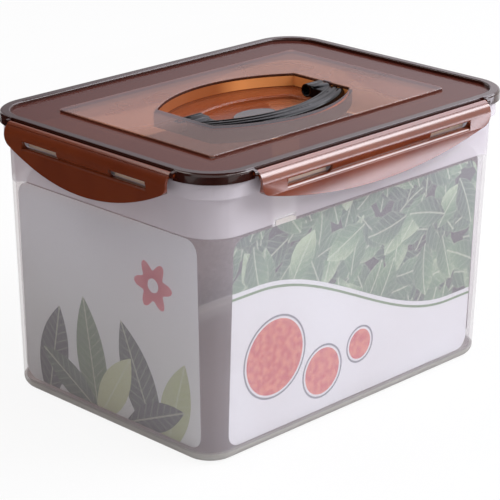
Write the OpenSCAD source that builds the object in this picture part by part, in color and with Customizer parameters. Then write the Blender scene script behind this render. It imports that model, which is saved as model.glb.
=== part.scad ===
// Kimchi container: a drafted translucent tub with a clip-on lid, four wing latches that turn on
// end stubs in the lid's rim, a carrying bow that folds into a boat-shaped well, and printed cards
// standing inside the walls. Millimetres, +Z up, origin on the floor under the middle of the tub.

/* [Outline] */
// Length of the lid over its rim
rim_length = 310; // [260:1:360]
// Width of the lid over its rim
rim_width = 224.4; // [190:0.2:260]
// Corner radius of the lid's rim in plan
corner_r = 33; // [30:0.5:40]

/* [Tub] */
// Height of the tub to the top of its lip
tub_h = 197; // [170:1:240]
// How far the lip lies inside the lid's outline
lip_inset = 6.2; // [6:0.1:7]
// How far the base lies inside the lid's outline
base_inset = 11.6; // [9:0.1:15]
// Wall thickness
wall = 2.2; // [1.6:0.1:3]
// Floor thickness
floor_t = 2.6; // [2:0.1:4]
// Radius round the foot of the walls
base_fillet = 8; // [6:0.5:12]
// Depth of the shallow recess under the base
foot_recess = 0.8; // [0.4:0.1:1.2]
// Width of the ring that the tub stands on
foot_ring = 7; // [5:0.5:12]
// Height of the collar under the lip
collar_h = 10; // [8:0.5:14]
// Thickness of the collar
collar_t = 1.8; // [1.4:0.1:2.2]
// Drop from the lip to the top of the collar
collar_drop = 1; // [0.5:0.1:2]

/* [Catch ribs] */
// Length of a rib on the long sides
long_rib = 40; // [25:1:50]
// Distance of a rib from the middle of a long side
long_rib_at = 70.5; // [50:0.5:80]
// Length of a rib on the short sides
short_rib = 32.5; // [20:0.5:38]
// Distance of a rib from the middle of a short side
short_rib_at = 42.6; // [30:0.2:50]
// Height of a rib
rib_h = 4.2; // [3.6:0.1:4.4]
// Drop from the lip to the middle of a rib
rib_drop = 6.4; // [6:0.1:7]
// How far a rib stands out of the collar
rib_out = 3.8; // [3:0.1:4.2]

/* [Lid] */
// Thickness of the lid's panel and of its walls
lid_t = 2.2; // [1.6:0.1:2.6]
// Height of the rim above the panel
rim_h = 2.4; // [2:0.1:3]
// Width of the rim in plan
rim_w = 7.7; // [6.5:0.1:8.5]
// Radius along the rim's outer edge
rim_round = 2.2; // [1:0.1:2.4]
// Radius along the rim's inner edge
rim_edge_r = 1.2; // [0.6:0.1:1.4]
// Thickness of the skirt at the corners
skirt_t = 2.3; // [2.1:0.1:2.6]
// Height of the skirt below the panel
skirt_h = 2.6; // [2:0.1:3.4]
// Depth of the wall that plugs the tub
plug_h = 12; // [8:0.5:16]
// Thickness of that wall
plug_t = 1.8; // [1.4:0.1:2.2]
// Height of the seal as it is squeezed
seal_h = 2.6; // [2:0.1:3.5]
// How far the seal reaches past the tub's lip
seal_over = 0.6; // [0.3:0.1:1]

/* [Platform and well] */
// Length of the raised platform
platform_l = 233; // [210:1:240]
// Width of the raised platform
platform_w = 150; // [125:1:155]
// Height of the platform above the panel
platform_h = 1.8; // [1.4:0.1:2.6]
// Corner radius of the platform
platform_r = 3; // [2:0.5:8]
// Length of the well
well_l = 137; // [120:1:150]
// Width of the well at its ends
well_end_w = 54; // [44:1:60]
// Width of the well in the middle
well_mid_w = 100; // [96:1:110]
// Depth of the shelf that the handle lies on
shelf_depth = 10; // [9.6:0.1:12]
// Length of the finger pocket in the shelf
pocket_l = 100; // [80:1:102]
// Width of the finger pocket at its ends
pocket_end_w = 26; // [20:1:34]
// Width of the finger pocket in the middle
pocket_mid_w = 56; // [48:1:62]
// Depth of the finger pocket below the shelf
pocket_depth = 3; // [2:0.1:5]
// Length of the oval badge
badge_l = 37; // [30:0.5:42]
// Width of the oval badge
badge_w = 22; // [16:0.5:26]
// Radius at the ends of the badge
badge_end_r = 6.5; // [5:0.1:7.5]
// Thickness of the badge
badge_t = 1.2; // [0.8:0.1:2]

/* [Carrying handle] */
// Distance from the pivot to the middle line of the grip
grip_reach = 33.5; // [30:0.5:36]
// Radius of that line
grip_r = 129; // [120:1:160]
// Width of the grip
grip_w = 15; // [12:0.5:16]
// Thickness of the grip
grip_t = 8; // [6.4:0.1:8.6]
// Radius along the edges of the grip
grip_edge_r = 3; // [2:0.1:3.2]
// Radius of the two grooves along the grip
groove_r = 1.8; // [1.2:0.1:2.2]
// Depth of those grooves
groove_depth = 0.8; // [0.4:0.1:1.2]
// Distance of a groove from the middle line
groove_at = 2.5; // [2:0.1:3]
// How far the arms to the pivot are set in from the grip's faces
arm_step = 0.5; // [0.3:0.1:1]
// How far the round end of an arm lies from the pivot
arm_reach = 6; // [4:0.5:8]
// Radius of the pivot barrels
barrel_r = 4.8; // [4.4:0.1:5]
// Length of a pivot barrel
barrel_l = 15; // [12:0.5:18]
// Radius of the pivot stubs
stub_r = 2.5; // [2:0.1:2.6]
// Length of the pivot stubs
stub_l = 5; // [4:0.1:6]
// Radius of the hollow in the inner end of a barrel
hollow_r = 3.5; // [2.5:0.1:3.8]
// Depth of that hollow
hollow_depth = 4; // [2:0.5:8]

/* [Latches] */
// Length of the latches on the long sides
long_latch = 230; // [190:1:232]
// Drop from the rim to the lowest point of those latches
long_drop = 32.4; // [30:0.2:36]
// Radius of their lower edge
long_edge_r = 440; // [400:5:520]
// Length of the latches on the short sides
short_latch = 157; // [130:1:157]
// Drop from the rim to the lowest point of those latches
short_drop = 34.8; // [32:0.2:38]
// Radius of their lower edge
short_edge_r = 164; // [150:2:220]
// Radius at the lower ends of a latch
latch_end_r = 8; // [4:0.5:10]
// Wall thickness of a latch
latch_t = 2; // [1.6:0.1:2.2]
// How far the latches stand out of the rim
latch_out = 6.4; // [6:0.1:7.5]
// Radius of the round shoulder
shoulder_r = 9.6; // [9:0.1:10.4]
// Drop from the rim to the middle of the shoulder
shoulder_drop = 10.2; // [9.6:0.1:10.6]
// Angle of the pivot round the shoulder, up from level
hinge_angle = 60; // [56:1:64]
// Radius of the bead along the pivot
hinge_r = 1.8; // [1.6:0.1:2]
// Radius of the pivot stubs at its ends
pin_r = 1.2; // [1:0.1:1.3]
// Length of those stubs
pin_l = 2.4; // [2:0.1:2.8]
// Thickness of the ears on the lid that take the stubs
ear_t = 2.6; // [2.2:0.1:3]
// Wall of an ear round its hole
ear_wall = 1; // [0.8:0.1:1.2]
// Angle of the fine groove along the shoulder, up from level
crease_angle = 44; // [40:1:48]
// Radius of that groove
crease_r = 0.5; // [0.3:0.1:0.7]
// Thickness of the ledge along the top of the flap
ledge_t = 2; // [1.6:0.1:2.4]
// Radius along the ledge's outer edge
ledge_r = 3; // [2.6:0.1:3.2]
// Thickness of the flap under its ledge
root_t = 2.5; // [2.3:0.1:3]
// Radius by which the flap flares outward to its lower edge
flare_r = 100; // [80:5:160]
// Width of the wall between a slot and the closed end of a latch
slot_jamb = 1; // [0.6:0.1:2]

/* [Cards] */
// Thickness of the printed cards
card_t = 0.5; // [0.3:0.1:0.8]
// Width of the cards on the long sides
long_card = 248; // [200:1:250]
// Height of their top edge above the floor
long_card_top = 155.5; // [120:0.5:165]
// Width of the cards on the short sides
short_card = 176; // [140:1:180]
// Height of their top edge above the floor
short_card_top = 155.5; // [120:0.5:165]
// Corner radius of the cards
card_r = 10; // [6:0.5:14]
// Length of the tab on top of the front card
tab_l = 19; // [12:0.5:26]
// Height of that tab
tab_h = 4; // [2:0.5:6]
// Distance of the tab from the middle of the card
tab_at = 76; // [40:1:90]

/* [Clearances] */
// Between the tub's collar and the lid's skirt
skirt_gap = 0.5; // [0.4:0.1:0.7]
// Between a catch rib and the latch round it
rib_gap = 0.4; // [0.3:0.1:0.5]
// Between a rib and the sides of its slot
slot_side_gap = 1; // [0.6:0.1:1.5]
// Between a latch and the lid beside it
hinge_gap = 0.4; // [0.3:0.1:0.6]
// Between a pivot stub and its hole
stub_gap = 0.15; // [0.1:0.01:0.2]
// Between the tub's wall and the plug wall of the lid
plug_gap = 0.8; // [0.5:0.1:1.2]
// Between the seal and the plug wall
seal_gap = 0.15; // [0.1:0.05:0.3]
// Between the handle and the well round it
handle_gap = 0.3; // [0.25:0.05:0.4]
// Between the handle's arms and the ends of the well
arm_gap = 0.8; // [0.5:0.1:1]
// Between a card's edges and the tub
card_gap = 0.3; // [0.2:0.1:0.5]

/* [Hidden] */
$fn = 96;
eps = 0.01;
// How far a cutter passes the face that it cuts
cut = 1;
// How far one of two smoothly meeting arcs passes the other, so that they cross
arc_overlap = 0.05;
// How far the grip is swept past the planes that trim it, in degrees
turn_cut = 2;

// Centres of the plan corners: every rounded outline shares them, so draft makes planes and cones
corner_x = rim_length / 2 - corner_r;
corner_y = rim_width / 2 - corner_r;

// Distances outward from those centres
base_u = corner_r - base_inset;
lip_u = corner_r - lip_inset;
slope = (lip_u - base_u) / tub_h;
draft = atan(slope);
inner_fillet = base_fillet - floor_t;
foot_u = base_u - base_fillet - foot_ring;
collar_u = corner_r - skirt_t - skirt_gap;
rib_u = collar_u + rib_out;
hook_u = rib_u + rib_gap;
shoulder_u = corner_r + latch_out - shoulder_r;
flap_u = corner_r + latch_out;
hinge_u = shoulder_u + (shoulder_r - hinge_r) * cos(hinge_angle);
bead_out = hinge_u - hinge_r - hinge_gap;
bead_in = corner_r - rim_w;
plug_u = lip_u - wall - plug_gap;
seal_u = lip_u + seal_over;
ear_r = pin_r + stub_gap + ear_wall;

// Heights
collar_top = tub_h - collar_drop;
rib_z = tub_h - rib_drop;
panel_low = tub_h + seal_h;
panel_z = panel_low + lid_t;
rim_z = panel_z + rim_h;
shoulder_z = rim_z - shoulder_drop;
hinge_z = shoulder_z + (shoulder_r - hinge_r) * sin(hinge_angle);
platform_z = panel_z + platform_h;
shelf_z = platform_z - shelf_depth;
pocket_z = shelf_z - pocket_depth;
pivot_z = shelf_z + handle_gap + barrel_r;
slot_low = rib_z - rib_h / 2 - rib_gap;
slot_high = rib_z + rib_h / 2 + rib_gap;

// Handle
arm_out = well_l / 2 - arm_gap;
arm_in = arm_out - barrel_l;
boss_r = min(stub_r + lid_t, platform_z - pivot_z - eps);
boss_l = stub_l + lid_t;

// The four sides, front first: turn, distance to the corner centres, rib and latch sizes
FRONT = [0, corner_y, long_rib, long_rib_at, long_latch, long_drop, long_edge_r];
BACK = [180, corner_y, long_rib, long_rib_at, long_latch, long_drop, long_edge_r];
LEFT = [-90, corner_x, short_rib, short_rib_at, short_latch, short_drop, short_edge_r];
RIGHT = [90, corner_x, short_rib, short_rib_at, short_latch, short_drop, short_edge_r];
SIDES = [FRONT, BACK, LEFT, RIGHT];

// How far the tub's outer wall lies from the corner centres at height z
function wall_u(z) = base_u + slope * z;

// Radius of an arc from its half chord and its rise
function arc_r(half, rise) = (half * half + rise * rise) / (2 * rise);

// Sweeps a section, drawn outward from the corner centres, round the rounded rectangle
module swept_frame() {
    centres = [[corner_x, corner_y], [-corner_x, corner_y], [-corner_x, -corner_y], [corner_x, -corner_y]];
    for (i = [0:3]) {
        along = i % 2 == 0 ? corner_y : corner_x;
        across = i % 2 == 0 ? corner_x : corner_y;
        translate(centres[i])
            rotate(90 * i)
                rotate_extrude(angle = 90)
                    children();
        rotate(90 * i)
            translate([across, along, 0])
                rotate([90, 0, 0])
                    linear_extrude(2 * along)
                        children();
    }
}

// Rounded rectangle with the frame's own corner centres, grown by u
module frame_outline(u) {
    square([2 * corner_x, 2 * (corner_y + u)], center = true);
    square([2 * (corner_x + u), 2 * corner_y], center = true);
    for (x = [-corner_x, corner_x])
        for (y = [-corner_y, corner_y])
            translate([x, y])
                circle(u);
}

// Rectangle with round corners
module rounded_rect(l, w, r) {
    square([l - 2 * r, w], center = true);
    square([l, w - 2 * r], center = true);
    for (x = [r - l / 2, l / 2 - r])
        for (y = [r - w / 2, w / 2 - r])
            translate([x, y])
                circle(r);
}

// Boat outline: two bowed sides cut off square at the ends, grown by a wall
module boat(l, end_w, mid_w, grow = 0) {
    r = arc_r(l / 2, (mid_w - end_w) / 2);
    intersection() {
        translate([0, mid_w / 2 - r])
            circle(r + grow, $fn = 240);
        translate([0, r - mid_w / 2])
            circle(r + grow, $fn = 240);
        square([l + 2 * grow, mid_w + 2 * grow], center = true);
    }
}

// Oval of four tangent arcs
module oval(l, w, end_r) {
    c = l / 2 - end_r;
    e = w / 2 - end_r;
    d = (c * c - e * e) / (2 * e);
    side_r = w / 2 + d;
    intersection() {
        translate([0, d])
            circle(side_r);
        translate([0, -d])
            circle(side_r);
        square([2 * side_r * c / sqrt(c * c + d * d), w], center = true);
    }
    for (s = [-1, 1])
        translate([s * c, 0])
            circle(end_r);
}

// Half section of a drafted box with a round foot, from the corner centres to its wall
module drafted_section(u0, fillet, z0, z1) {
    foot_z = z0 + fillet;
    foot_u = u0 + slope * foot_z - fillet / cos(draft);
    polygon([
        [0, z0],
        [foot_u, z0],
        [foot_u + fillet * cos(draft), foot_z - fillet * sin(draft)],
        [u0 + slope * z1, z1],
        [0, z1]
    ]);
    translate([foot_u, foot_z])
        circle(fillet);
}

// Turns what is drawn for the front to one of the sides, with y = 0 on its corner centres
module on_side(side) {
    rotate(side[0])
        translate([0, -side[1], 0])
            children();
}

// Runs a section, drawn outward and up, along a side
module along_side(l) {
    rotate([90, 0, -90])
        linear_extrude(l, center = true)
            children();
}

module tub() {
    color("#e4e1df") {
        swept_frame() {
            difference() {
                drafted_section(base_u, base_fillet, 0, tub_h);
                drafted_section(base_u - wall, inner_fillet, floor_t, tub_h + cut);
                square([foot_u, tub_h + cut]);
            }
            translate([wall_u(collar_top) - wall / 2, collar_top - collar_t])
                square([collar_u - collar_t / 2 - wall_u(collar_top) + wall / 2, collar_t]);
            translate([collar_u - collar_t, collar_top - collar_h])
                square([collar_t, collar_h]);
        }
        translate([0, 0, foot_recess])
            linear_extrude(floor_t - foot_recess)
                frame_outline(foot_u + foot_ring / 2);
        for (side = SIDES)
            on_side(side)
                for (s = [-1, 1])
                    translate([s * side[3] - side[2] / 2, -rib_u, rib_z - rib_h / 2])
                        cube([side[2], rib_u - collar_u + collar_t / 2, rib_h]);
    }
}

// Section of the lid's edge at the corners: plug wall, panel, hollow rim and skirt
module lid_section() {
    translate([plug_u - plug_t, panel_low - plug_h])
        square([plug_t, plug_h + lid_t]);
    translate([plug_u - plug_t, panel_low])
        square([bead_in - plug_u + plug_t + rim_edge_r, lid_t]);
    difference() {
        union() {
            translate([bead_in, panel_low])
                square([rim_w - rim_round, rim_z - rim_edge_r - panel_low]);
            translate([bead_in + rim_edge_r, panel_low])
                square([rim_w - rim_edge_r - rim_round, rim_z - panel_low]);
            translate([bead_in + rim_edge_r, rim_z - rim_edge_r])
                circle(rim_edge_r);
            translate([corner_r - rim_round, rim_z - rim_round])
                circle(rim_round);
            translate([bead_in + rim_edge_r, panel_low - skirt_h])
                square([rim_w - rim_edge_r, skirt_h + rim_z - rim_round - panel_low]);
        }
        translate([bead_in - cut, panel_low - skirt_h - cut])
            square([seal_u + seal_gap - bead_in + cut, skirt_h + cut]);
        translate([seal_u, panel_low - skirt_h - cut])
            square([corner_r - skirt_t - seal_u, skirt_h + rim_z - lid_t - panel_low + cut]);
    }
}

// The lid without the well: edge, panel and hollow platform
module lid_shell() {
    swept_frame()
        lid_section();
    difference() {
        union() {
            translate([0, 0, panel_low])
                linear_extrude(lid_t)
                    frame_outline(plug_u);
            translate([0, 0, panel_low])
                linear_extrude(platform_z - panel_low)
                    rounded_rect(platform_l, platform_w, platform_r);
        }
        translate([0, 0, panel_low - cut])
            linear_extrude(platform_z - lid_t - panel_low + cut)
                rounded_rect(platform_l - 2 * lid_t, platform_w - 2 * lid_t, platform_r - lid_t / 2);
    }
}

module lid() {
    color("#8a6a62")
        difference() {
            union() {
                lid_body();
                for (side = SIDES)
                    on_side(side)
                        for (s = [0, 1])
                            mirror([s, 0, 0])
                                translate([side[4] / 2 + hinge_gap, 0, 0])
                                    hinge_ear();
            }
            for (side = SIDES)
                on_side(side)
                    for (s = [0, 1])
                        mirror([s, 0, 0])
                            translate([side[4] / 2, -hinge_u, hinge_z])
                                rotate([0, 90, 0])
                                    cylinder(h = hinge_gap + ear_t, r = pin_r + stub_gap);
        }
}

// The lid without its ears: well, pocket and pivot bosses in the shell, cut away behind the latches
module lid_body() {
    difference() {
        union() {
            lid_shell();
            translate([0, 0, shelf_z - lid_t])
                linear_extrude(platform_z - shelf_z + lid_t)
                    boat(well_l, well_end_w, well_mid_w, lid_t);
            translate([0, 0, pocket_z - lid_t])
                linear_extrude(pocket_depth + lid_t)
                    boat(pocket_l, pocket_end_w, pocket_mid_w, lid_t);
            for (s = [-1, 1])
                translate([s * (well_l / 2 + boss_l / 2), 0, pivot_z])
                    rotate([0, 90, 0])
                        cylinder(h = boss_l, r = boss_r, center = true);
        }
        translate([0, 0, shelf_z])
            linear_extrude(shelf_depth + cut)
                boat(well_l, well_end_w, well_mid_w);
        translate([0, 0, pocket_z])
            linear_extrude(pocket_depth + cut)
                boat(pocket_l, pocket_end_w, pocket_mid_w);
        translate([0, 0, pivot_z])
            rotate([0, 90, 0])
                cylinder(h = 2 * (arm_out + stub_l + arm_gap), r = stub_r + stub_gap, center = true);
        for (side = SIDES)
            on_side(side)
                translate([-side[4] / 2 - hinge_gap, -corner_r - cut, panel_low - plug_h])
                    cube([side[4] + 2 * hinge_gap, corner_r + cut - bead_out, plug_h + rim_z]);
    }
}

// Ear on the rim beside the end of a latch
module hinge_ear() {
    rotate([90, 0, -90])
        translate([0, 0, -ear_t])
            linear_extrude(ear_t) {
                translate([hinge_u, hinge_z])
                    circle(ear_r);
                translate([corner_r - skirt_t, hinge_z - ear_r])
                    square([hinge_u - corner_r + skirt_t, 2 * ear_r]);
            }
}

module lid_seal() {
    color("#f2efe9")
        swept_frame()
            translate([plug_u + seal_gap, tub_h])
                square([seal_u - plug_u - seal_gap, seal_h]);
}

module badge() {
    color("#8d8f94")
        translate([0, 0, pocket_z])
            linear_extrude(badge_t)
                oval(badge_l, badge_w, badge_end_r);
}

// Section of the grip: round edges and two grooves along its top
module grip_section() {
    difference() {
        rounded_rect(grip_w, grip_t, grip_edge_r);
        for (s = [-1, 1])
            translate([s * groove_at, grip_t / 2 + groove_r - groove_depth])
                circle(groove_r);
    }
}

module carry_handle() {
    low = pivot_z - barrel_r;
    bow_y = grip_r - grip_reach;
    half_turn = asin(arm_out / (grip_r - grip_w / 2)) + turn_cut;
    arm_y = sqrt(pow(grip_r, 2) - pow(arm_in + barrel_l / 2, 2)) - bow_y;
    arm_end_r = barrel_r - arm_step;
    color("#1d1c20")
        difference() {
            union() {
                intersection() {
                    translate([0, bow_y, low + grip_t / 2])
                        rotate(-90 - half_turn)
                            rotate_extrude(angle = 2 * half_turn, $fn = 240)
                                translate([grip_r, 0])
                                    grip_section();
                    translate([-arm_out, -grip_reach - grip_w, low])
                        cube([2 * arm_out, grip_reach + grip_w, 2 * grip_t]);
                }
                for (s = [-1, 1])
                    translate([s * (arm_in + barrel_l / 2), -arm_y / 2, low + grip_t / 2])
                        cube([barrel_l - 2 * arm_step, arm_y, grip_t - 2 * arm_step], center = true);
                for (s = [-1, 1])
                    translate([s * (arm_in + barrel_l / 2), 0, pivot_z]) {
                        rotate([0, 90, 0])
                            cylinder(h = barrel_l, r = barrel_r, center = true);
                        translate([0, -arm_reach, 0])
                            rotate([0, 90, 0])
                                cylinder(h = barrel_l - arm_step, r = arm_end_r, center = true);
                        translate([0, -arm_reach / 2, 0])
                            cube([barrel_l - arm_step, arm_reach, 2 * arm_end_r], center = true);
                    }
                translate([0, 0, pivot_z])
                    rotate([0, 90, 0])
                        for (s = [0, 1])
                            mirror([0, 0, s])
                                translate([0, 0, arm_out - eps])
                                    cylinder(h = stub_l + eps, r = stub_r);
            }
            translate([0, 0, pivot_z])
                rotate([0, 90, 0])
                    cylinder(h = 2 * (arm_in + hollow_depth), r = hollow_r, center = true);
        }
}

// Section of a latch: pivot bead, creased round shoulder, hook under the rib, ledge and flared flap
module latch_section(low) {
    hook_z = slot_low - ledge_t;
    flare_z = slot_low - ledge_r;
    ledge_u = flap_u + arc_overlap - ledge_r;
    reach = 2 * shoulder_r;
    translate([hinge_u, hinge_z])
        circle(hinge_r);
    translate([shoulder_u, shoulder_z])
        intersection() {
            difference() {
                circle(shoulder_r);
                circle(shoulder_r - latch_t);
                rotate(crease_angle)
                    translate([shoulder_r, 0])
                        circle(crease_r);
            }
            polygon([
                [0, 0],
                [reach * cos(hinge_angle), reach * sin(hinge_angle)],
                [reach, reach * sin(hinge_angle)],
                [reach, hook_z - shoulder_z],
                [hook_u - shoulder_u, hook_z - shoulder_z],
                [hook_u - shoulder_u, 0]
            ]);
        }
    difference() {
        union() {
            translate([hook_u, flare_z])
                square([ledge_u - hook_u, ledge_r]);
            translate([ledge_u, flare_z])
                circle(ledge_r);
        }
        translate([hook_u - cut, flare_z - ledge_r - cut])
            square([flap_u - root_t - hook_u + cut, hook_z - flare_z + ledge_r + cut]);
        translate([hook_u - ledge_r, flare_z - ledge_r])
            square([ledge_r, 2 * ledge_r + cut]);
    }
    intersection() {
        translate([flap_u + flare_r, flare_z])
            difference() {
                circle(flare_r + latch_t, $fn = 360);
                circle(flare_r, $fn = 360);
            }
        translate([flap_u - latch_t - cut, low - cut])
            square([reach, flare_z - low + cut]);
    }
}

// Wall that closes the ends of a latch between its shoulder and its ledge
module latch_end_section() {
    translate([flap_u - latch_t, slot_low - ledge_r])
        square([latch_t, shoulder_z - slot_low + ledge_r]);
}

// Face of a latch: straight top and ends, bowed lower edge, round lower ends
module latch_outline(l, low, edge_r) {
    end_x = l / 2 - latch_end_r;
    end_z = low + edge_r - sqrt(pow(edge_r - latch_end_r + arc_overlap, 2) - end_x * end_x);
    meet_x = end_x * edge_r / (edge_r - latch_end_r);
    intersection() {
        translate([0, low + edge_r])
            circle(edge_r, $fn = 360);
        translate([-meet_x, low - cut])
            square([2 * meet_x, rim_z - low + cut]);
    }
    for (x = [-end_x, end_x])
        translate([x, end_z])
            circle(latch_end_r);
    translate([-l / 2, end_z])
        square([l, rim_z - end_z]);
}

// One wing latch: the section trimmed to its face, with slots over the ribs and stubs at the ends
module latch(side) {
    length = side[4];
    low = rim_z - side[5];
    end_l = length / 2 - side[3] - side[2] / 2 - slot_side_gap - slot_jamb;
    color("#8c4326")
        on_side(side) {
            difference() {
                intersection() {
                    union() {
                        along_side(length)
                            latch_section(low);
                        for (s = [-1, 1])
                            translate([s * (length - end_l) / 2, 0, 0])
                                along_side(end_l)
                                    latch_end_section();
                    }
                    translate([0, -corner_r, 0])
                        rotate([90, 0, 0])
                            linear_extrude(2 * corner_r, center = true)
                                latch_outline(length, low, side[6]);
                }
                for (s = [-1, 1])
                    translate([s * side[3] - side[2] / 2 - slot_side_gap, -flap_u - cut, slot_low])
                        cube([side[2] + 2 * slot_side_gap, flap_u + cut - hook_u, slot_high - slot_low]);
            }
            translate([0, -hinge_u, hinge_z])
                rotate([0, 90, 0])
                    for (s = [0, 1])
                        mirror([0, 0, s])
                            translate([0, 0, length / 2 - eps])
                                cylinder(h = pin_l + eps, r = pin_r);
        }
}

module latch_front() {
    latch(FRONT);
}

module latch_back() {
    latch(BACK);
}

module latch_left() {
    latch(LEFT);
}

module latch_right() {
    latch(RIGHT);
}

// A card that leans on the inside of a wall, clear of the round corners at its edges
module card(side, w, top, tab = false) {
    foot = floor_t + inner_fillet + card_gap;
    over = max(0, w / 2 - (side[1] == corner_y ? corner_x : corner_y));
    corner_u = wall_u(foot) - wall;
    set_in = corner_u - sqrt(corner_u * corner_u - over * over) + card_gap;
    color("#f4f4f0")
        on_side(side)
            translate([0, set_in + wall - base_u, 0])
                rotate([90 + draft, 0, 0])
                    translate([0, 0, -card_t])
                        linear_extrude(card_t) {
                            translate([0, (foot + top) / 2])
                                rounded_rect(w, top - foot, card_r);
                            if (tab)
                                translate([-tab_at - tab_l / 2, top - eps])
                                    square([tab_l, tab_h + eps]);
                        }
}

module card_front() {
    card(FRONT, long_card, long_card_top, tab = true);
}

module card_back() {
    card(BACK, long_card, long_card_top);
}

module card_left() {
    card(LEFT, short_card, short_card_top);
}

module card_right() {
    card(RIGHT, short_card, short_card_top);
}

tub();
lid();
lid_seal();
badge();
carry_handle();
latch_front();
latch_back();
latch_left();
latch_right();
card_front();
card_back();
card_left();
card_right();
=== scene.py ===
# Kimchi container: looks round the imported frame. Metres, same frame as the CAD.
import math

import bmesh
import bpy
from mathutils import Matrix, Vector


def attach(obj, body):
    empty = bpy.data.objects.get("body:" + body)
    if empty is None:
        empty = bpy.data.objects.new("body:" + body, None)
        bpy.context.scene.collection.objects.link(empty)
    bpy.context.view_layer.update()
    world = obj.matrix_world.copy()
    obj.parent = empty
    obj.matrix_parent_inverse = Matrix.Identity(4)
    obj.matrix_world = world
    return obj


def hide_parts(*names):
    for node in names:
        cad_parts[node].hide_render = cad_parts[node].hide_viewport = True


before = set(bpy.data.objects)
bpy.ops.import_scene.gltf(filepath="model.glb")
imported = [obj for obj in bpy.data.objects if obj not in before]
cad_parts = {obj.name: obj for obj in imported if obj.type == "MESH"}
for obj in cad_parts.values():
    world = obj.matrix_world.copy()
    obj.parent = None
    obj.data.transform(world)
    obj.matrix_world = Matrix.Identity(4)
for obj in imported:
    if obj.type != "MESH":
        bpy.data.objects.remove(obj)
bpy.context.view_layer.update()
scene = bpy.context.scene
scene.view_settings.view_transform = "Standard"
mm = 0.001
print("frame loaded,", len(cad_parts), "nodes")


# camera at the photograph's place
cameraView = {
    "spot": (-0.9893, -0.9552, 0.5948),
    "aim": (-0.0018, 0.0019, 0.09035),
    "roll": 0.5035,  # degrees
    "lens": 147.0,
    "sensor": 36.0,
}


def makeCamera(view):
    data = bpy.data.cameras.new("photoCamera")
    data.lens = view["lens"]
    data.sensor_width = view["sensor"]
    data.clip_end = 50
    camera = bpy.data.objects.new("photoCamera", data)
    scene.collection.objects.link(camera)
    look = Vector(view["aim"]) - Vector(view["spot"])
    turn = look.to_track_quat("-Z", "Y").to_matrix().to_4x4()
    roll = Matrix.Rotation(math.radians(view["roll"]), 4, "Z")
    camera.matrix_world = Matrix.Translation(view["spot"]) @ turn @ roll
    scene.camera = camera


makeCamera(cameraView)


# shader helpers: a wire is a socket that takes sums and products
class Wire:
    def __init__(self, look, socket):
        self.look = look
        self.socket = socket

    def to(self, operation, other=0.0, third=0.0):
        return self.look.node("ShaderNodeMath", {"operation": operation}, {0: self, 1: other, 2: third})

    def __add__(self, other):
        return self.to("ADD", other)

    def __radd__(self, other):
        return self.to("ADD", other)

    def __sub__(self, other):
        return self.to("SUBTRACT", other)

    def __rsub__(self, other):
        return (self * -1.0).to("ADD", other)

    def __mul__(self, other):
        return self.to("MULTIPLY", other)

    def __rmul__(self, other):
        return self.to("MULTIPLY", other)

    def __truediv__(self, other):
        return self.to("DIVIDE", other)

    def __abs__(self):
        return self.to("ABSOLUTE")

    def rise(self, low, high):  # smooth 0 to 1 between two values
        return self.look.node(
            "ShaderNodeMapRange",
            {"interpolation_type": "SMOOTHSTEP"},
            {"Value": self, "From Min": low, "From Max": high},
        )

    def ramp(self, stops):
        return self.look.node("ShaderNodeValToRGB", {"stops": stops}, {"Fac": self})


class Look:
    def __init__(self, name):
        self.material = bpy.data.materials.new(name)
        self.material.use_nodes = True
        self.tree = self.material.node_tree
        self.tree.nodes.clear()
        self.point = self.node("ShaderNodeTexCoord", output="Object")

    def node(self, kind, settings=None, inputs=None, output=0):
        made = self.tree.nodes.new(kind)
        for key, value in (settings or {}).items():
            if key == "stops":
                self.setStops(made.color_ramp, value)
            else:
                setattr(made, key, value)
        for key, value in (inputs or {}).items():
            if isinstance(value, Wire):
                self.tree.links.new(value.socket, made.inputs[key])
            else:
                made.inputs[key].default_value = value
        return Wire(self, made.outputs[output])

    def setStops(self, ramp, stops):
        while len(ramp.elements) < len(stops):
            ramp.elements.new(1.0)
        for element, (place, colour) in zip(ramp.elements, stops):
            element.position = place
            element.color = (*colour, 1.0)

    def axes(self, point=None):
        made = self.node("ShaderNodeSeparateXYZ", None, {0: point or self.point})
        return [Wire(self, out) for out in made.socket.node.outputs]

    def noise(self, scale, detail=2.0, point=None, output="Fac"):
        inputs = {"Vector": point or self.point, "Scale": scale, "Detail": detail}
        return self.node("ShaderNodeTexNoise", None, inputs, output)

    def blend(self, share, first, second):
        made = self.node("ShaderNodeMix", {"data_type": "RGBA"}, {0: share}, 2)
        for index, value in ((6, first), (7, second)):
            socket = made.socket.node.inputs[index]
            if isinstance(value, Wire):
                self.tree.links.new(value.socket, socket)
            else:
                socket.default_value = (*value, 1.0)
        return made

    def bump(self, height, strength, distance):
        inputs = {"Height": height, "Strength": strength, "Distance": distance}
        return self.node("ShaderNodeBump", None, inputs)

    def plastic(self, colour, roughness, **inputs):
        values = {"Base Color": colour, "Roughness": roughness}
        values.update({key.replace("_", " "): value for key, value in inputs.items()})
        if not isinstance(colour, Wire):
            values["Base Color"] = (*colour, 1.0)
        return self.node("ShaderNodeBsdfPrincipled", None, values)

    def show(self, shader):
        out = self.tree.nodes.new("ShaderNodeOutputMaterial")
        self.tree.links.new(shader.socket, out.inputs["Surface"])
        return self.material

    def seeThrough(self, share, tint, shader):  # share of the shader over clear tinted plastic
        clear = self.node("ShaderNodeBsdfTransparent", None, {"Color": (*tint, 1.0)})
        return self.node("ShaderNodeMixShader", None, {0: share, 1: clear, 2: shader})


def srgb(red, green, blue):  # screen colour 0 to 255 as a shader colour
    def line(part):
        part = part / 255
        return part / 12.92 if part <= 0.04045 else ((part + 0.055) / 1.055) ** 2.4
    return (line(red), line(green), line(blue))


# pieces from merged copies of the frame's nodes
mergeWithin = 2e-6
flatWithin = 0.3  # degrees


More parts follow.
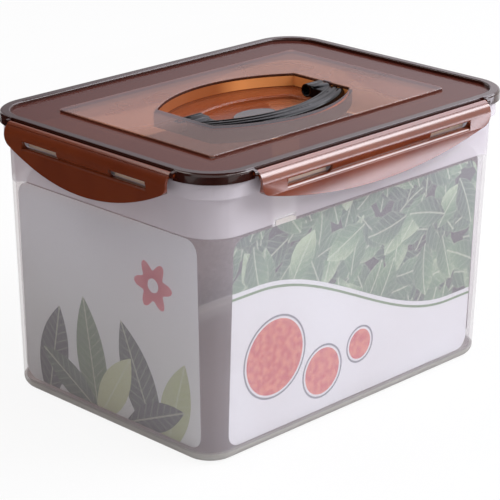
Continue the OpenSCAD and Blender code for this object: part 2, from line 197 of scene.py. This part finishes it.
def nodeShape(node, plain=True):
    bm = bmesh.new()
    bm.from_mesh(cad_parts[node].data)
    bmesh.ops.remove_doubles(bm, verts=bm.verts, dist=mergeWithin)
    if plain:  # flat faces as one
        limit = math.radians(flatWithin)
        bmesh.ops.dissolve_limit(bm, angle_limit=limit, verts=bm.verts, edges=bm.edges)
    return bm


def sharpEdges(bm, angle, chosen):
    limit = math.radians(angle)
    return [e for e in bm.edges if e.is_manifold and e.calc_face_angle() > limit and chosen(e)]


def roundEdges(bm, edges, width, segments):
    bmesh.ops.bevel(
        bm, geom=edges, offset=width, offset_type="OFFSET", affect="EDGES",
        segments=segments, profile=0.5, material=-1, clamp_overlap=True,
    )


def addPiece(bm, name, node, body, material, smooth=32):
    mesh = bpy.data.meshes.new(name)
    bm.to_mesh(mesh)
    bm.free()
    mesh.polygons.foreach_set("use_smooth", [True] * len(mesh.polygons))
    mesh.set_sharp_from_angle(angle=math.radians(smooth))
    mesh.materials.append(material)
    piece = bpy.data.objects.new(name, mesh)
    scene.collection.objects.link(piece)
    even = piece.modifiers.new("evenShade", "WEIGHTED_NORMAL")  # large faces keep their own shade
    even.keep_sharp = True
    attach(piece, body)
    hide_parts(node)
    return piece


def heightOf(edge, height, slack=2e-5):
    return all(abs(v.co.z - height) < slack for v in edge.verts)


planCorner = (0.122, 0.0792)  # centre of the plan's rounded corners


def outFrom(look):  # distance outward from the plan corners' centres
    x, y, _ = look.axes()
    across = (abs(x) - planCorner[0]).to("MAXIMUM", 0.0)
    along = (abs(y) - planCorner[1]).to("MAXIMUM", 0.0)
    return (across * across + along * along).to("SQRT")


# tub: frosted natural plastic, milkier above the fill line
tubFinish = {
    "milk": srgb(226, 219, 226),
    "cloudMilk": srgb(216, 206, 212),
    "cream": srgb(252, 226, 204),
    # painted shade: the milk greys near the bottom, where little light reaches
    "footShade": srgb(194, 190, 185),
    "clouds": (0.35, 0.7),  # where the milk turns cloudy
    "veil": {"low": 0.22, "band": 0.66, "foot": 0.72, "ribs": 0.92},  # share of milk on each face
    "bandFrom": 0.1588,
    "bandDrop": 3.6 * mm,  # the band starts lower on the far walls
    "farWalls": {"x": (0.12, 0.14), "y": (0.07, 0.09)},
    "tabWindow": {"x": (-0.0895, -0.0695), "top": 0.1622},  # clear over the front card's tab
    "frontWall": (0.0, -0.09),
    "footTo": 7.6 * mm,
    "ribsFrom": 30.5 * mm,  # outward from the plan corners
    "fade": {"band": 0.3 * mm, "foot": 0.5 * mm, "ribs": 0.2 * mm},
    "scales": {"cloud": 9.0, "frost": 1400.0, "rough": 60.0},
    "rough": (0.30, 0.12),  # least, and how much it varies
    "frostBump": (0.12, 0.1 * mm),
    "edge": 0.5 * mm,
    "collarFoot": 0.186,
}


def frostedTub(finish):
    look = Look("frostedTub")
    x, y, z = look.axes()
    fade, scales = finish["fade"], finish["scales"]
    left, right = finish["tabWindow"]["x"]
    top = finish["tabWindow"]["top"]
    beside = abs(x - (left + right) / 2).rise((right - left) / 2, (right - left) / 2 + fade["band"])
    clear = (1 - beside) * y.rise(*finish["frontWall"]) * z.rise(top, top - fade["band"])
    farWalls = x.rise(*finish["farWalls"]["x"]).to("MAXIMUM", y.rise(*finish["farWalls"]["y"]))
    over = z + farWalls * finish["bandDrop"] - finish["bandFrom"]
    band = over.rise(-fade["band"], fade["band"]) * (1 - clear)
    ribs = outFrom(look).rise(finish["ribsFrom"], finish["ribsFrom"] + fade["ribs"])
    foot = z.rise(finish["footTo"] + fade["foot"], finish["footTo"] - fade["foot"])
    veil = finish["veil"]["low"]
    for place, mask in (("band", band), ("foot", foot), ("ribs", ribs)):
        veil = mask * (finish["veil"][place] - veil) + veil
    cloud = look.noise(scales["cloud"], 3.0)
    frost = look.noise(scales["frost"])
    milk = look.blend(cloud.rise(*finish["clouds"]), finish["milk"], finish["cloudMilk"])
    # painted shade: the foot's milk is greyer, standing in for the dim light at the base
    milk = look.blend(foot, milk, finish["footShade"])
    milk = look.blend(ribs, milk, finish["cream"])
    least, spread = finish["rough"]
    rough = look.noise(scales["rough"], 3.0) * spread + least
    body = look.plastic(milk, rough, Alpha=veil, IOR=1.49, Normal=look.bump(frost, *finish["frostBump"]))
    return look.show(body)


def makeTub(finish):
    bm = nodeShape("tub")
    roundEdges(bm, sharpEdges(bm, 60, lambda e: heightOf(e, finish["collarFoot"])), finish["edge"], 2)
    return addPiece(bm, "tub_shell", "tub", "tub", frostedTub(finish))


makeTub(tubFinish)
print("tub made")


# lid: smoky brown, clear enough for the well to show through the platform
lidFinish = {
    "platform": srgb(204, 188, 193),  # frosted
    "front": srgb(166, 161, 167),  # painted shade: the platform before the well, greyed as if the well below shades it
    "wellShadeFrom": (0.012, -0.026),  # how far back it reaches, fading
    "wellShadeTo": (0.085, 0.030),  # and to the right
    "panel": srgb(92, 42, 34),  # polished
    "under": srgb(28, 26, 29),  # painted shade: the well's walls below the platform, near-black
    "rim": srgb(44, 14, 8),
    "well": (srgb(162, 92, 50), srgb(255, 172, 102)),  # painted glow of light through the plastic, dimmer at the left end and brighter at the right
    "wellTurn": (0.008, 0.036),  # where one end turns into the other
    # painted glow: the well's shelf and pocket are orange where light would come through the plastic
    "wellFloor": srgb(150, 72, 34),
    "wellLip": srgb(60, 26, 18),
    "tint": (0.95, 0.66, 0.47),  # what clear plastic lets through at each face
    "shares": {  # of body over clear plastic
        "platform": 0.29, "panel": 0.78, "under": 0.97, "rim": 0.94,
        "well": 0.97, "wellFloor": 0.62, "wellLip": 0.9,
    },
    "rough": {"frosted": 0.46, "polished": 0.1, "spread": 0.08},
    "cloud": 0.15,  # share of the panel's brown in clouds
    "scales": {"cloud": 14.0, "fine": 900.0, "rough": 220.0},
    "fineBump": (0.05, 0.1 * mm),
    "rimPolish": 0.5,
    "edge": 0.7 * mm,
    "pocketEdge": 1.6 * mm,
    "rimFrom": 25.2 * mm,  # outward from the plan corners
    "platformHalf": (0.1165, 0.075),
    "wellHalf": (0.0690, 0.0505),
    "wellBow": 0.1135,  # radius of the well's long sides
    "platformTop": 0.2036,
    "shelfTop": 0.1936,
    "plate": 2.2 * mm,  # the platform's thickness
    "underFrom": 0.03 * mm,  # below the plate
    "floorOver": (0.5 * mm, 0.2 * mm),  # the shelf's colour fades out up the wall
    "lipDeep": 2.2 * mm,
    "fade": {"plan": 0.2 * mm, "box": 0.1 * mm, "depth": 0.3 * mm},
    "planSlack": 0.4 * mm,
}


def wellPlan(x, y, finish):  # 1 inside the well's outline
    halfX, halfY = finish["wellHalf"]
    middle = abs(y) + (finish["wellBow"] - halfY)
    far = (x * x + middle * middle).to("SQRT")
    bow = finish["wellBow"] + finish["planSlack"] - far
    return bow.rise(0.0, finish["fade"]["plan"]) * (halfX - abs(x)).rise(0.0, finish["fade"]["plan"])


def boxPlan(x, y, half, fade):  # 1 inside a rectangle
    return (half[0] - abs(x)).rise(0.0, fade) * (half[1] - abs(y)).rise(0.0, fade)


def smokyLid(finish):
    look = Look("smokyLid")
    x, y, z = look.axes()
    fade, scales, roughness = finish["fade"], finish["scales"], finish["rough"]
    plan = wellPlan(x, y, finish)
    platform = boxPlan(x, y, finish["platformHalf"], fade["box"])
    down = finish["platformTop"] - z
    masks = {
        "platform": platform,
        # painted shade: the well's walls below the plate are near-black
        "under": platform * down.rise(finish["plate"] + finish["underFrom"], finish["plate"] + fade["box"]),
        "wellLip": plan * down.rise(fade["depth"], fade["depth"] + fade["plan"]),
        "well": plan * down.rise(finish["lipDeep"], finish["lipDeep"] + fade["depth"]),
        "wellFloor": plan * (z - finish["shelfTop"]).rise(*finish["floorOver"]),
        "rim": outFrom(look).rise(finish["rimFrom"] - fade["plan"], finish["rimFrom"] + fade["plan"]),
    }
    colour, share = finish["panel"], finish["shares"]["panel"]
    bodies = {place: finish[place] for place in masks}
    # painted shade: the platform turns grey before the well
    before = y.rise(*finish["wellShadeFrom"]) * x.rise(*finish["wellShadeTo"])
    bodies["platform"] = look.blend(before, finish["platform"], finish["front"])
    # painted light: the well's walls glow amber, brighter towards the right
    bodies["well"] = look.blend(x.rise(*finish["wellTurn"]), *finish["well"])
    for place, mask in masks.items():
        colour = look.blend(mask, colour, bodies[place])
        share = mask * (finish["shares"][place] - share) + share
    cloud = look.noise(scales["cloud"], 3.0).rise(0.3, 0.75)
    colour = look.blend(cloud * finish["cloud"], colour, finish["panel"])
    flat = boxPlan(x, y, [half - finish["edge"] for half in finish["platformHalf"]], fade["box"])
    frosted = flat * (1 - masks["wellLip"])
    polished = look.noise(scales["rough"]) * roughness["spread"] + roughness["polished"]
    rough = frosted * (roughness["frosted"] - polished) + polished
    edge = platform * (1 - flat)  # the platform's edge shines most
    polish = (masks["rim"] * finish["rimPolish"]).to("MAXIMUM", edge)
    bump = look.bump(look.noise(scales["fine"]) * frosted, *finish["fineBump"])
    body = look.plastic(colour, rough, IOR=1.5, Specular_IOR_Level=0.35, Coat_Weight=polish, Normal=bump)
    return look.show(look.seeThrough(share, finish["tint"], body))


def makeLid(finish):
    bm = nodeShape("lid")
    roundEdges(bm, sharpEdges(bm, 40, lambda e: heightOf(e, finish["platformTop"])), finish["edge"], 3)
    pocket = sharpEdges(bm, 40, lambda e: e.is_convex and heightOf(e, finish["shelfTop"]))
    roundEdges(bm, pocket, finish["pocketEdge"], 4)
    return addPiece(bm, "lid_cover", "lid", "lid", smokyLid(finish))


makeLid(lidFinish)
print("lid made")


# seal: soft white ring
sealFinish = {
    "white": srgb(236, 233, 228),
    "grain": 500.0,
    "rough": (0.5, 0.1),  # least, and how much it varies
    "bump": (0.1, 0.2 * mm),
}


def softSeal(finish):
    look = Look("softSeal")
    grain = look.noise(finish["grain"])
    least, spread = finish["rough"]
    body = look.plastic(finish["white"], grain * spread + least, Normal=look.bump(grain, *finish["bump"]))
    return look.show(body)


addPiece(nodeShape("lid_seal"), "seal_ring", "lid_seal", "lid", softSeal(sealFinish))
print("seal made")


# latches: red-brown, slightly pearly
latchFinish = {
    "dark": srgb(108, 42, 14),
    "light": srgb(122, 52, 20),
    "rough": (0.17, 0.06),  # least, and how much it varies
    "scales": {"cloud": 18.0, "rough": 160.0},
    "edge": 0.35 * mm,
}


def pearlBrown(finish):
    look = Look("pearlBrown")
    cloud = look.noise(finish["scales"]["cloud"], 3.0)
    colour = look.blend(cloud.rise(0.3, 0.75), finish["dark"], finish["light"])
    least, spread = finish["rough"]
    rough = look.noise(finish["scales"]["rough"]) * spread + least
    body = look.plastic(colour, rough, IOR=1.6, Specular_IOR_Level=0.8)
    return look.show(body)


def makeLatches(finish):
    material = pearlBrown(finish)
    for side in ("front", "back", "left", "right"):
        node = "latch_" + side
        bm = nodeShape(node)
        roundEdges(bm, sharpEdges(bm, 40, lambda e: True), finish["edge"], 2)
        addPiece(bm, "wing_" + side, node, node, material)


makeLatches(latchFinish)
print("latches made")


# carrying handle: black gloss
handleFinish = {
    "black": srgb(6, 5, 7),
    "worn": srgb(18, 15, 19),
    "scuffs": 90.0,
    "rough": (0.13, 0.04),  # least, and more where it is scuffed
    "smooth": 44,  # degrees
}


def glossBlack(finish):
    look = Look("glossBlack")
    scuff = look.noise(finish["scuffs"], 4.0).rise(0.5, 0.8)
    colour = look.blend(scuff, finish["black"], finish["worn"])
    least, more = finish["rough"]
    body = look.plastic(colour, scuff * more + least, IOR=1.5, Specular_IOR_Level=0.15)
    return look.show(body)


def makeHandle(finish):
    bm = nodeShape("carry_handle", plain=False)
    material = glossBlack(finish)
    return addPiece(bm, "bow_handle", "carry_handle", "carry_handle", material, finish["smooth"])


makeHandle(handleFinish)
print("handle made")


# badge: bare oval plate with a raised edge
badgeFinish = {
    "grey": srgb(88, 86, 90),
    "dim": 0.85,  # how dark the flecks are
    "flecks": 1800.0,
    "rough": (0.2, 0.08),  # least, and how much it varies
    "rim": 1.4 * mm,
    "sink": 0.35 * mm,
    "edge": 0.25 * mm,
}


def glossGrey(finish):
    look = Look("glossGrey")
    fleck = look.noise(finish["flecks"])
    dim = tuple(part * finish["dim"] for part in finish["grey"])
    colour = look.blend(fleck.rise(0.4, 0.65), dim, finish["grey"])
    least, spread = finish["rough"]
    return look.show(look.plastic(colour, fleck * spread + least, Metallic=0.35, Coat_Weight=0.5))


def makeBadge(finish):
    bm = nodeShape("badge")
    bm.faces.ensure_lookup_table()
    top = max(bm.faces, key=lambda f: f.calc_center_median().z)
    bmesh.ops.inset_region(bm, faces=[top], thickness=finish["rim"], depth=-finish["sink"])
    roundEdges(bm, sharpEdges(bm, 30, lambda e: True), finish["edge"], 2)
    return addPiece(bm, "badge_plate", "badge", "lid", glossGrey(finish))


makeBadge(badgeFinish)
print("badge made")


# cards: generic kitchen prints, leaves in greens with coral rounds
paperRough = (0.38, 0.1)  # least, and how much it varies
paperGrain = 900.0
longPrint = {
    "paper": srgb(246, 247, 250),
    "leaves": (
        (0.0, srgb(20, 50, 42)), (0.35, srgb(48, 96, 72)),
        (0.7, srgb(104, 148, 108)), (1.0, srgb(190, 212, 172)),
    ),
    "gap": srgb(14, 34, 30),
    "pale": srgb(206, 222, 190),
    "layers": (  # size of a leaf's cell, and how far the cells are moved
        (0.046, 0.000, 0.000), (0.044, 0.021, 0.017), (0.047, 0.033, 0.009), (0.042, 0.011, 0.029),
        (0.045, 0.027, 0.036), (0.040, 0.005, 0.013), (0.043, 0.037, 0.024),
    ),
    "edge": (0.118, 0.056),  # height of the leaf field's edge at its left and right ends
    "sweep": 0.1,
    "line": srgb(96, 140, 80),
    "lineBelow": 4 * mm,
    "tab": srgb(255, 250, 238),
    "tabFrom": 0.1556,  # over the card's top edge
    "rounds": ((-0.082, 0.062, 0.027), (-0.034, 0.037, 0.017), (0.004, 0.046, 0.011)),
    "coral": (srgb(214, 40, 30), srgb(240, 120, 84)),
    "ring": srgb(120, 126, 136),
    "ringOutside": 2.2 * mm,
}
shortPrint = {
    "paper": srgb(238, 239, 242),
    "paperLow": srgb(226, 229, 226),
    "vein": srgb(214, 222, 188),
    "leaves": (  # place, turn in degrees, half length, half width, green
        (-0.058, 0.034, 78, 0.040, 0.015, srgb(40, 62, 48)),
        (0.030, 0.038, 112, 0.046, 0.016, srgb(44, 70, 46)),
        (-0.018, 0.040, 98, 0.048, 0.015, srgb(92, 124, 70)),
        (0.064, 0.030, 74, 0.038, 0.014, srgb(178, 190, 128)),
        (0.004, 0.026, 58, 0.034, 0.013, srgb(196, 204, 150)),
        (-0.040, 0.020, 150, 0.034, 0.012, srgb(60, 92, 58)),
        (0.044, 0.018, 24, 0.032, 0.011, srgb(36, 56, 44)),
    ),
    "flower": (0.046, 0.114, 0.018),  # place and reach
    "flowerEye": 0.28,  # share of the reach
    "petals": 6,
    "coral": (srgb(206, 44, 62), srgb(226, 96, 104)),
}


def disc(u, v, place):  # 1 inside a round, and the distance from its middle
    left, up = u - place[0], v - place[1]
    far = (left * left + up * up).to("SQRT")
    return far.rise(place[2] + 0.2 * mm, place[2] - 0.2 * mm), far


def leafField(look, u, v, design):
    flat = look.node("ShaderNodeCombineXYZ", None, {0: u, 1: v})
    ruffle = look.noise(90.0, 3.0, flat) * 0.22 - 0.11
    fine = look.noise(420.0, 3.0, flat)
    colour = look.blend(fine.rise(0.3, 0.7), design["gap"], design["leaves"][0][1])
    for count, (size, shiftU, shiftV) in enumerate(design["layers"]):  # one leaf in each cell of each layer
        across, up = (u + shiftU) / size, (v + shiftV) / size
        column, row = across.to("FLOOR"), up.to("FLOOR")
        cell = look.node("ShaderNodeCombineXYZ", None, {0: column, 1: row, 2: float(count)})
        chance = look.node("ShaderNodeTexWhiteNoise", {"noise_dimensions": "3D"}, {"Vector": cell}, "Color")
        turn, tone, bend = look.axes(chance)
        side, rise = across - column - 0.5, up - row - 0.5
        cosine, sine = (turn * (2 * math.pi)).to("COSINE"), (turn * (2 * math.pi)).to("SINE")
        along = side * cosine + rise * sine
        wide = rise * cosine - side * sine + (along * along - 0.1) * (bend - 0.5) * 0.6
        half = (1 - along * along * 4.2) * (0.27 + ruffle * 0.5)
        inside = (half - abs(wide)).rise(0.0, 0.02)
        veins = ((along - abs(wide) * 0.9) * 46.0).to("SINE").rise(0.6, 1.0)
        hem = (half - abs(wide)).rise(0.05, 0.0)
        pale = abs(wide).rise(0.022, 0.010) * 0.6 + veins * 0.2 + hem * 0.25
        shade = tone * 0.5 + along * 0.35 + wide * 0.5 + fine * 0.25 + count * 0.045
        leaf = look.blend(pale.to("MINIMUM", 0.7), shade.ramp(design["leaves"]), design["pale"])
        colour = look.blend(inside, colour, leaf)
    return colour


def paperWith(look, colour):  # printed paper, slightly glossy
    least, spread = paperRough
    return look.show(look.plastic(colour, look.noise(paperGrain) * spread + least))


def longCard(name, side, design):
    look = Look(name)
    x, _, v = look.axes()
    u = x * side
    left, right = design["edge"]
    edge = u.rise(-design["sweep"], design["sweep"]) * (right - left) + left
    over = v - edge
    colour = look.blend(over.rise(-0.2 * mm, 0.2 * mm), design["paper"], leafField(look, u, v, design))
    line = abs(over + design["lineBelow"]).rise(1.1 * mm, 0.8 * mm)
    colour = look.blend(line, colour, design["line"])
    flesh = look.noise(210.0, 4.0).rise(0.35, 0.65)
    coral = look.blend(flesh, *design["coral"])
    for place in design["rounds"]:
        inside, far = disc(u, v, place)
        ring = abs(far - (place[2] + design["ringOutside"])).rise(0.9 * mm, 0.6 * mm)
        colour = look.blend(inside, colour, coral)
        colour = look.blend(ring, colour, design["ring"])
    colour = look.blend(v.rise(design["tabFrom"], design["tabFrom"] + 0.1 * mm), colour, design["tab"])
    return paperWith(look, colour)


def leafShape(look, u, v, leaf, vein):
    left, low, degrees, length, width, green = leaf
    du, dv = u - left, v - low
    turn = math.radians(degrees)
    along = (du * math.cos(turn) + dv * math.sin(turn)) / length
    across = dv * math.cos(turn) - du * math.sin(turn)
    half = (1 - along * along) * width
    inside = (half - abs(across)).rise(0.0, 0.5 * mm)
    rib = abs(across).rise(0.9 * mm, 0.4 * mm)
    veins = ((along * length - abs(across) * 0.8) * 900.0).to("SINE").rise(0.75, 1.0)
    pale = (rib * 0.5 + veins * 0.22).to("MINIMUM", 0.6)
    return inside, look.blend(pale, green, vein)


def shortCard(name, side, design):
    look = Look(name)
    _, y, v = look.axes()
    u = y * side
    colour = look.blend(v.rise(0.05, 0.15), design["paperLow"], design["paper"])
    for leaf in design["leaves"]:
        inside, green = leafShape(look, u, v, leaf, design["vein"])
        colour = look.blend(inside, colour, green)
    left, low, reach = design["flower"]
    eye, far = disc(u, v, (left, low, reach * design["flowerEye"]))
    turn = (v - low).to("ARCTAN2", u - left)
    edge = ((turn * design["petals"]).to("COSINE") * 0.2 + 0.8) * reach
    petal = (edge - far).rise(-0.2 * mm, 0.2 * mm)
    coral = look.blend((far / reach).rise(0.2, 1.0), *design["coral"])
    colour = look.blend(petal, colour, coral)
    colour = look.blend(eye, colour, design["paper"])
    return paperWith(look, colour)


# painted shade: the cards' backs are grey, standing in for the dim light inside the tub
shadedCardBack = {
    "light": srgb(150, 139, 142),
    "dark": srgb(134, 123, 126),
    "fibres": 340.0,
    "rough": (0.6, 0.15),  # least, and how much it varies
}


# card backs: a fibre tone over a grey that is painted shade
def shadedBack(finish):
    look = Look("shadedCardBack")
    fibre = look.noise(finish["fibres"], 4.0)
    colour = look.blend(fibre.rise(0.35, 0.7), finish["dark"], finish["light"])
    least, spread = finish["rough"]
    return look.show(look.plastic(colour, fibre * spread + least))


def printCards():
    prints = {
        "front": (longCard("printFront", 1, longPrint), Vector((0, -1, 0))),
        "back": (longCard("printBack", -1, longPrint), Vector((0, 1, 0))),
        "left": (shortCard("printLeft", -1, shortPrint), Vector((-1, 0, 0))),
        "right": (shortCard("printRight", 1, shortPrint), Vector((1, 0, 0))),
    }
    back = shadedBack(shadedCardBack)
    for side, (material, outward) in prints.items():
        bm = nodeShape("card_" + side)
        for face in bm.faces:
            face.material_index = 0 if face.normal.dot(outward) > 0.5 else 1
        piece = addPiece(bm, "print_" + side, "card_" + side, "tub", material)
        piece.data.materials.append(back)


printCards()
print("cards printed")


# stage: white floor and sky, soft lights
stageSettings = {
    "floorSize": 14.0,
    "shadowShare": 0.1,
    "floorPale": (0.86, 0.86, 0.87),
    "floorRough": 0.8,
    "footing": 17 * mm,  # edge of the tub's foot, outward from the plan corners
    "footingFade": 6 * mm,
    "sky": (0.84, 0.82, 0.83),
    "skyStrength": 0.36,
}
pale = (0.98, 0.94, 1.0)
cool = (0.92, 0.91, 1.0)
cardGrade = {"span": 0.75, "ends": (0.25, 0.75)}  # how a card's glow changes from end to end
flags = {  # cards that only gloss mirrors: glow at the left and right ends, seen from the object
    "lidCard": {
        "spot": (1.25, 1.25, 0.80), "aim": (0, 0, 0.2),
        "size": (2.0, 1.1), "glow": (0.34, 0.96), "tint": pale,
    },
    "shoulderCard": {
        "spot": (1.3, 0.1, 1.3), "aim": (0, 0, 0.2),
        "size": (1.7, 0.75), "glow": (3.3, 3.3), "tint": cool,
    },
    "stripCard": {
        "spot": (0.52, -0.66, 0.035), "aim": (0, -0.12, 0.035),
        "size": (0.8, 0.065), "glow": (6.5, 6.5), "tint": cool,
    },
    "ceilingCard": {
        "spot": (0.6, 0, 1.9), "aim": (0, 0, 0.2),
        "size": (3.0, 3.0), "glow": (0.08, 0.08), "tint": pale,
    },
    "sideCard": {
        "spot": (-0.50, 0.34, 0.42), "aim": (-0.16, 0, 0.42),
        "size": (1.3, 0.85), "glow": (0.02, 0.02), "tint": pale,
    },
    "tableCard": {
        "spot": (0, 0, 0.0005), "aim": (0, 0, 1),
        "size": (1.5, 1.5), "glow": (0.03, 0.03), "tint": pale,
    },
}
lamps = {
    "key": {
        "spot": (1.5, -0.95, 1.45), "aim": (0, 0, 0.1),
        "size": (1.7, 1.1), "power": 46, "colour": (0.93, 0.95, 1.0),
    },
    "fill": {
        "spot": (0.5, -1.8, 1.8), "aim": (0, 0, 0.1),
        "size": (1.4, 1.4), "power": 22, "colour": (0.97, 0.98, 1.0),
    },
    "top": {
        "spot": (-0.7, 0.9, 1.7), "aim": (0, 0, 0.15),
        "size": (1.0, 1.0), "power": 10, "colour": (1.0, 0.94, 0.90),
    },
    "inside": {  # light that comes through the walls
        "spot": (0, 0, 0.012), "aim": (0, 0, 1),
        "size": (0.2, 0.12), "power": 0.11, "colour": (1.0, 0.87, 0.84),
    },
}


def gradedCard(name, flag, grade):
    look = Look(name)
    x, y, _ = look.axes()
    across = (y - flag["spot"][1]) - (x - flag["spot"][0])
    place = across * (-grade["span"] / flag["size"][0]) + 0.5
    most = max(flag["glow"])
    stops = []
    for end, glow in zip(grade["ends"], flag["glow"]):
        stops.append((end, tuple(part * glow / most for part in flag["tint"])))
    return look.show(look.node("ShaderNodeEmission", None, {"Color": place.ramp(stops), "Strength": most}))


def makeFlags(settings):
    for name, flag in settings.items():
        bm = bmesh.new()
        bmesh.ops.create_grid(bm, x_segments=1, y_segments=1, size=0.5)
        bmesh.ops.scale(bm, vec=(*flag["size"], 1.0), verts=bm.verts)
        aim = Vector(flag["aim"]) - Vector(flag["spot"])
        turn = aim.to_track_quat("Z", "Y").to_matrix().to_4x4()
        bmesh.ops.transform(bm, matrix=turn, verts=bm.verts)
        bmesh.ops.translate(bm, vec=flag["spot"], verts=bm.verts)
        mesh = bpy.data.meshes.new(name)
        bm.to_mesh(mesh)
        bm.free()
        mesh.materials.append(gradedCard(name, flag, cardGrade))
        card = bpy.data.objects.new(name, mesh)
        scene.collection.objects.link(card)
        card.visible_camera = card.visible_diffuse = card.visible_shadow = False


directRays = ("Is Camera Ray", "Is Glossy Ray", "Is Transmission Ray")


def seenDirectly(look):  # 1 for camera, mirror and clear rays
    path = look.node("ShaderNodeLightPath").socket.node.outputs
    camera, glossy, clear = (Wire(look, path[ray]) for ray in directRays)
    return camera.to("MAXIMUM", glossy).to("MAXIMUM", clear)


def makeFloor(settings):
    bm = bmesh.new()
    bmesh.ops.create_grid(bm, x_segments=1, y_segments=1, size=settings["floorSize"] / 2)
    mesh = bpy.data.meshes.new("floor")
    bm.to_mesh(mesh)
    bm.free()
    floor = bpy.data.objects.new("floor", mesh)
    scene.collection.objects.link(floor)
    look = Look("paleFloor")
    white = look.node("ShaderNodeEmission", None, {"Color": (1, 1, 1, 1), "Strength": 1.0})
    matt = look.plastic(settings["floorPale"], settings["floorRough"])
    footing = settings["footing"]
    clear = outFrom(look).rise(footing - settings["footingFade"], footing)  # 0 where the tub stands
    share = seenDirectly(look) * clear * (1 - settings["shadowShare"])
    mesh.materials.append(look.show(look.node("ShaderNodeMixShader", None, {0: share, 1: matt, 2: white})))


def makeSky(settings):
    world = bpy.data.worlds.new("studioSky")
    world.use_nodes = True
    scene.world = world
    tree = world.node_tree
    tree.nodes.clear()
    path = tree.nodes.new("ShaderNodeLightPath")
    mix = tree.nodes.new("ShaderNodeMixShader")
    out = tree.nodes.new("ShaderNodeOutputWorld")
    shades = ((settings["sky"], settings["skyStrength"]), ((1, 1, 1), 1.0))
    for index, (colour, strength) in enumerate(shades):
        shade = tree.nodes.new("ShaderNodeBackground")
        shade.inputs["Color"].default_value = (*colour, 1)
        shade.inputs["Strength"].default_value = strength
        tree.links.new(shade.outputs[0], mix.inputs[1 + index])
    white = path.outputs[directRays[0]]
    for ray in directRays[1:]:
        either = tree.nodes.new("ShaderNodeMath")
        either.operation = "MAXIMUM"
        tree.links.new(white, either.inputs[0])
        tree.links.new(path.outputs[ray], either.inputs[1])
        white = either.outputs[0]
    tree.links.new(white, mix.inputs[0])
    tree.links.new(mix.outputs[0], out.inputs["Surface"])


def makeLamps(settings):
    for name, lamp in settings.items():
        data = bpy.data.lights.new(name, "AREA")
        data.shape = "RECTANGLE"
        data.energy = lamp["power"]
        data.size, data.size_y = lamp["size"]
        data.color = lamp["colour"]
        light = bpy.data.objects.new(name, data)
        scene.collection.objects.link(light)
        light.location = lamp["spot"]
        light.visible_camera = False
        aim = Vector(lamp["aim"]) - Vector(lamp["spot"])
        light.rotation_euler = aim.to_track_quat("-Z", "Y").to_euler()


makeFloor(stageSettings)
makeFlags(flags)
makeSky(stageSettings)
makeLamps(lamps)
print("stage lit")
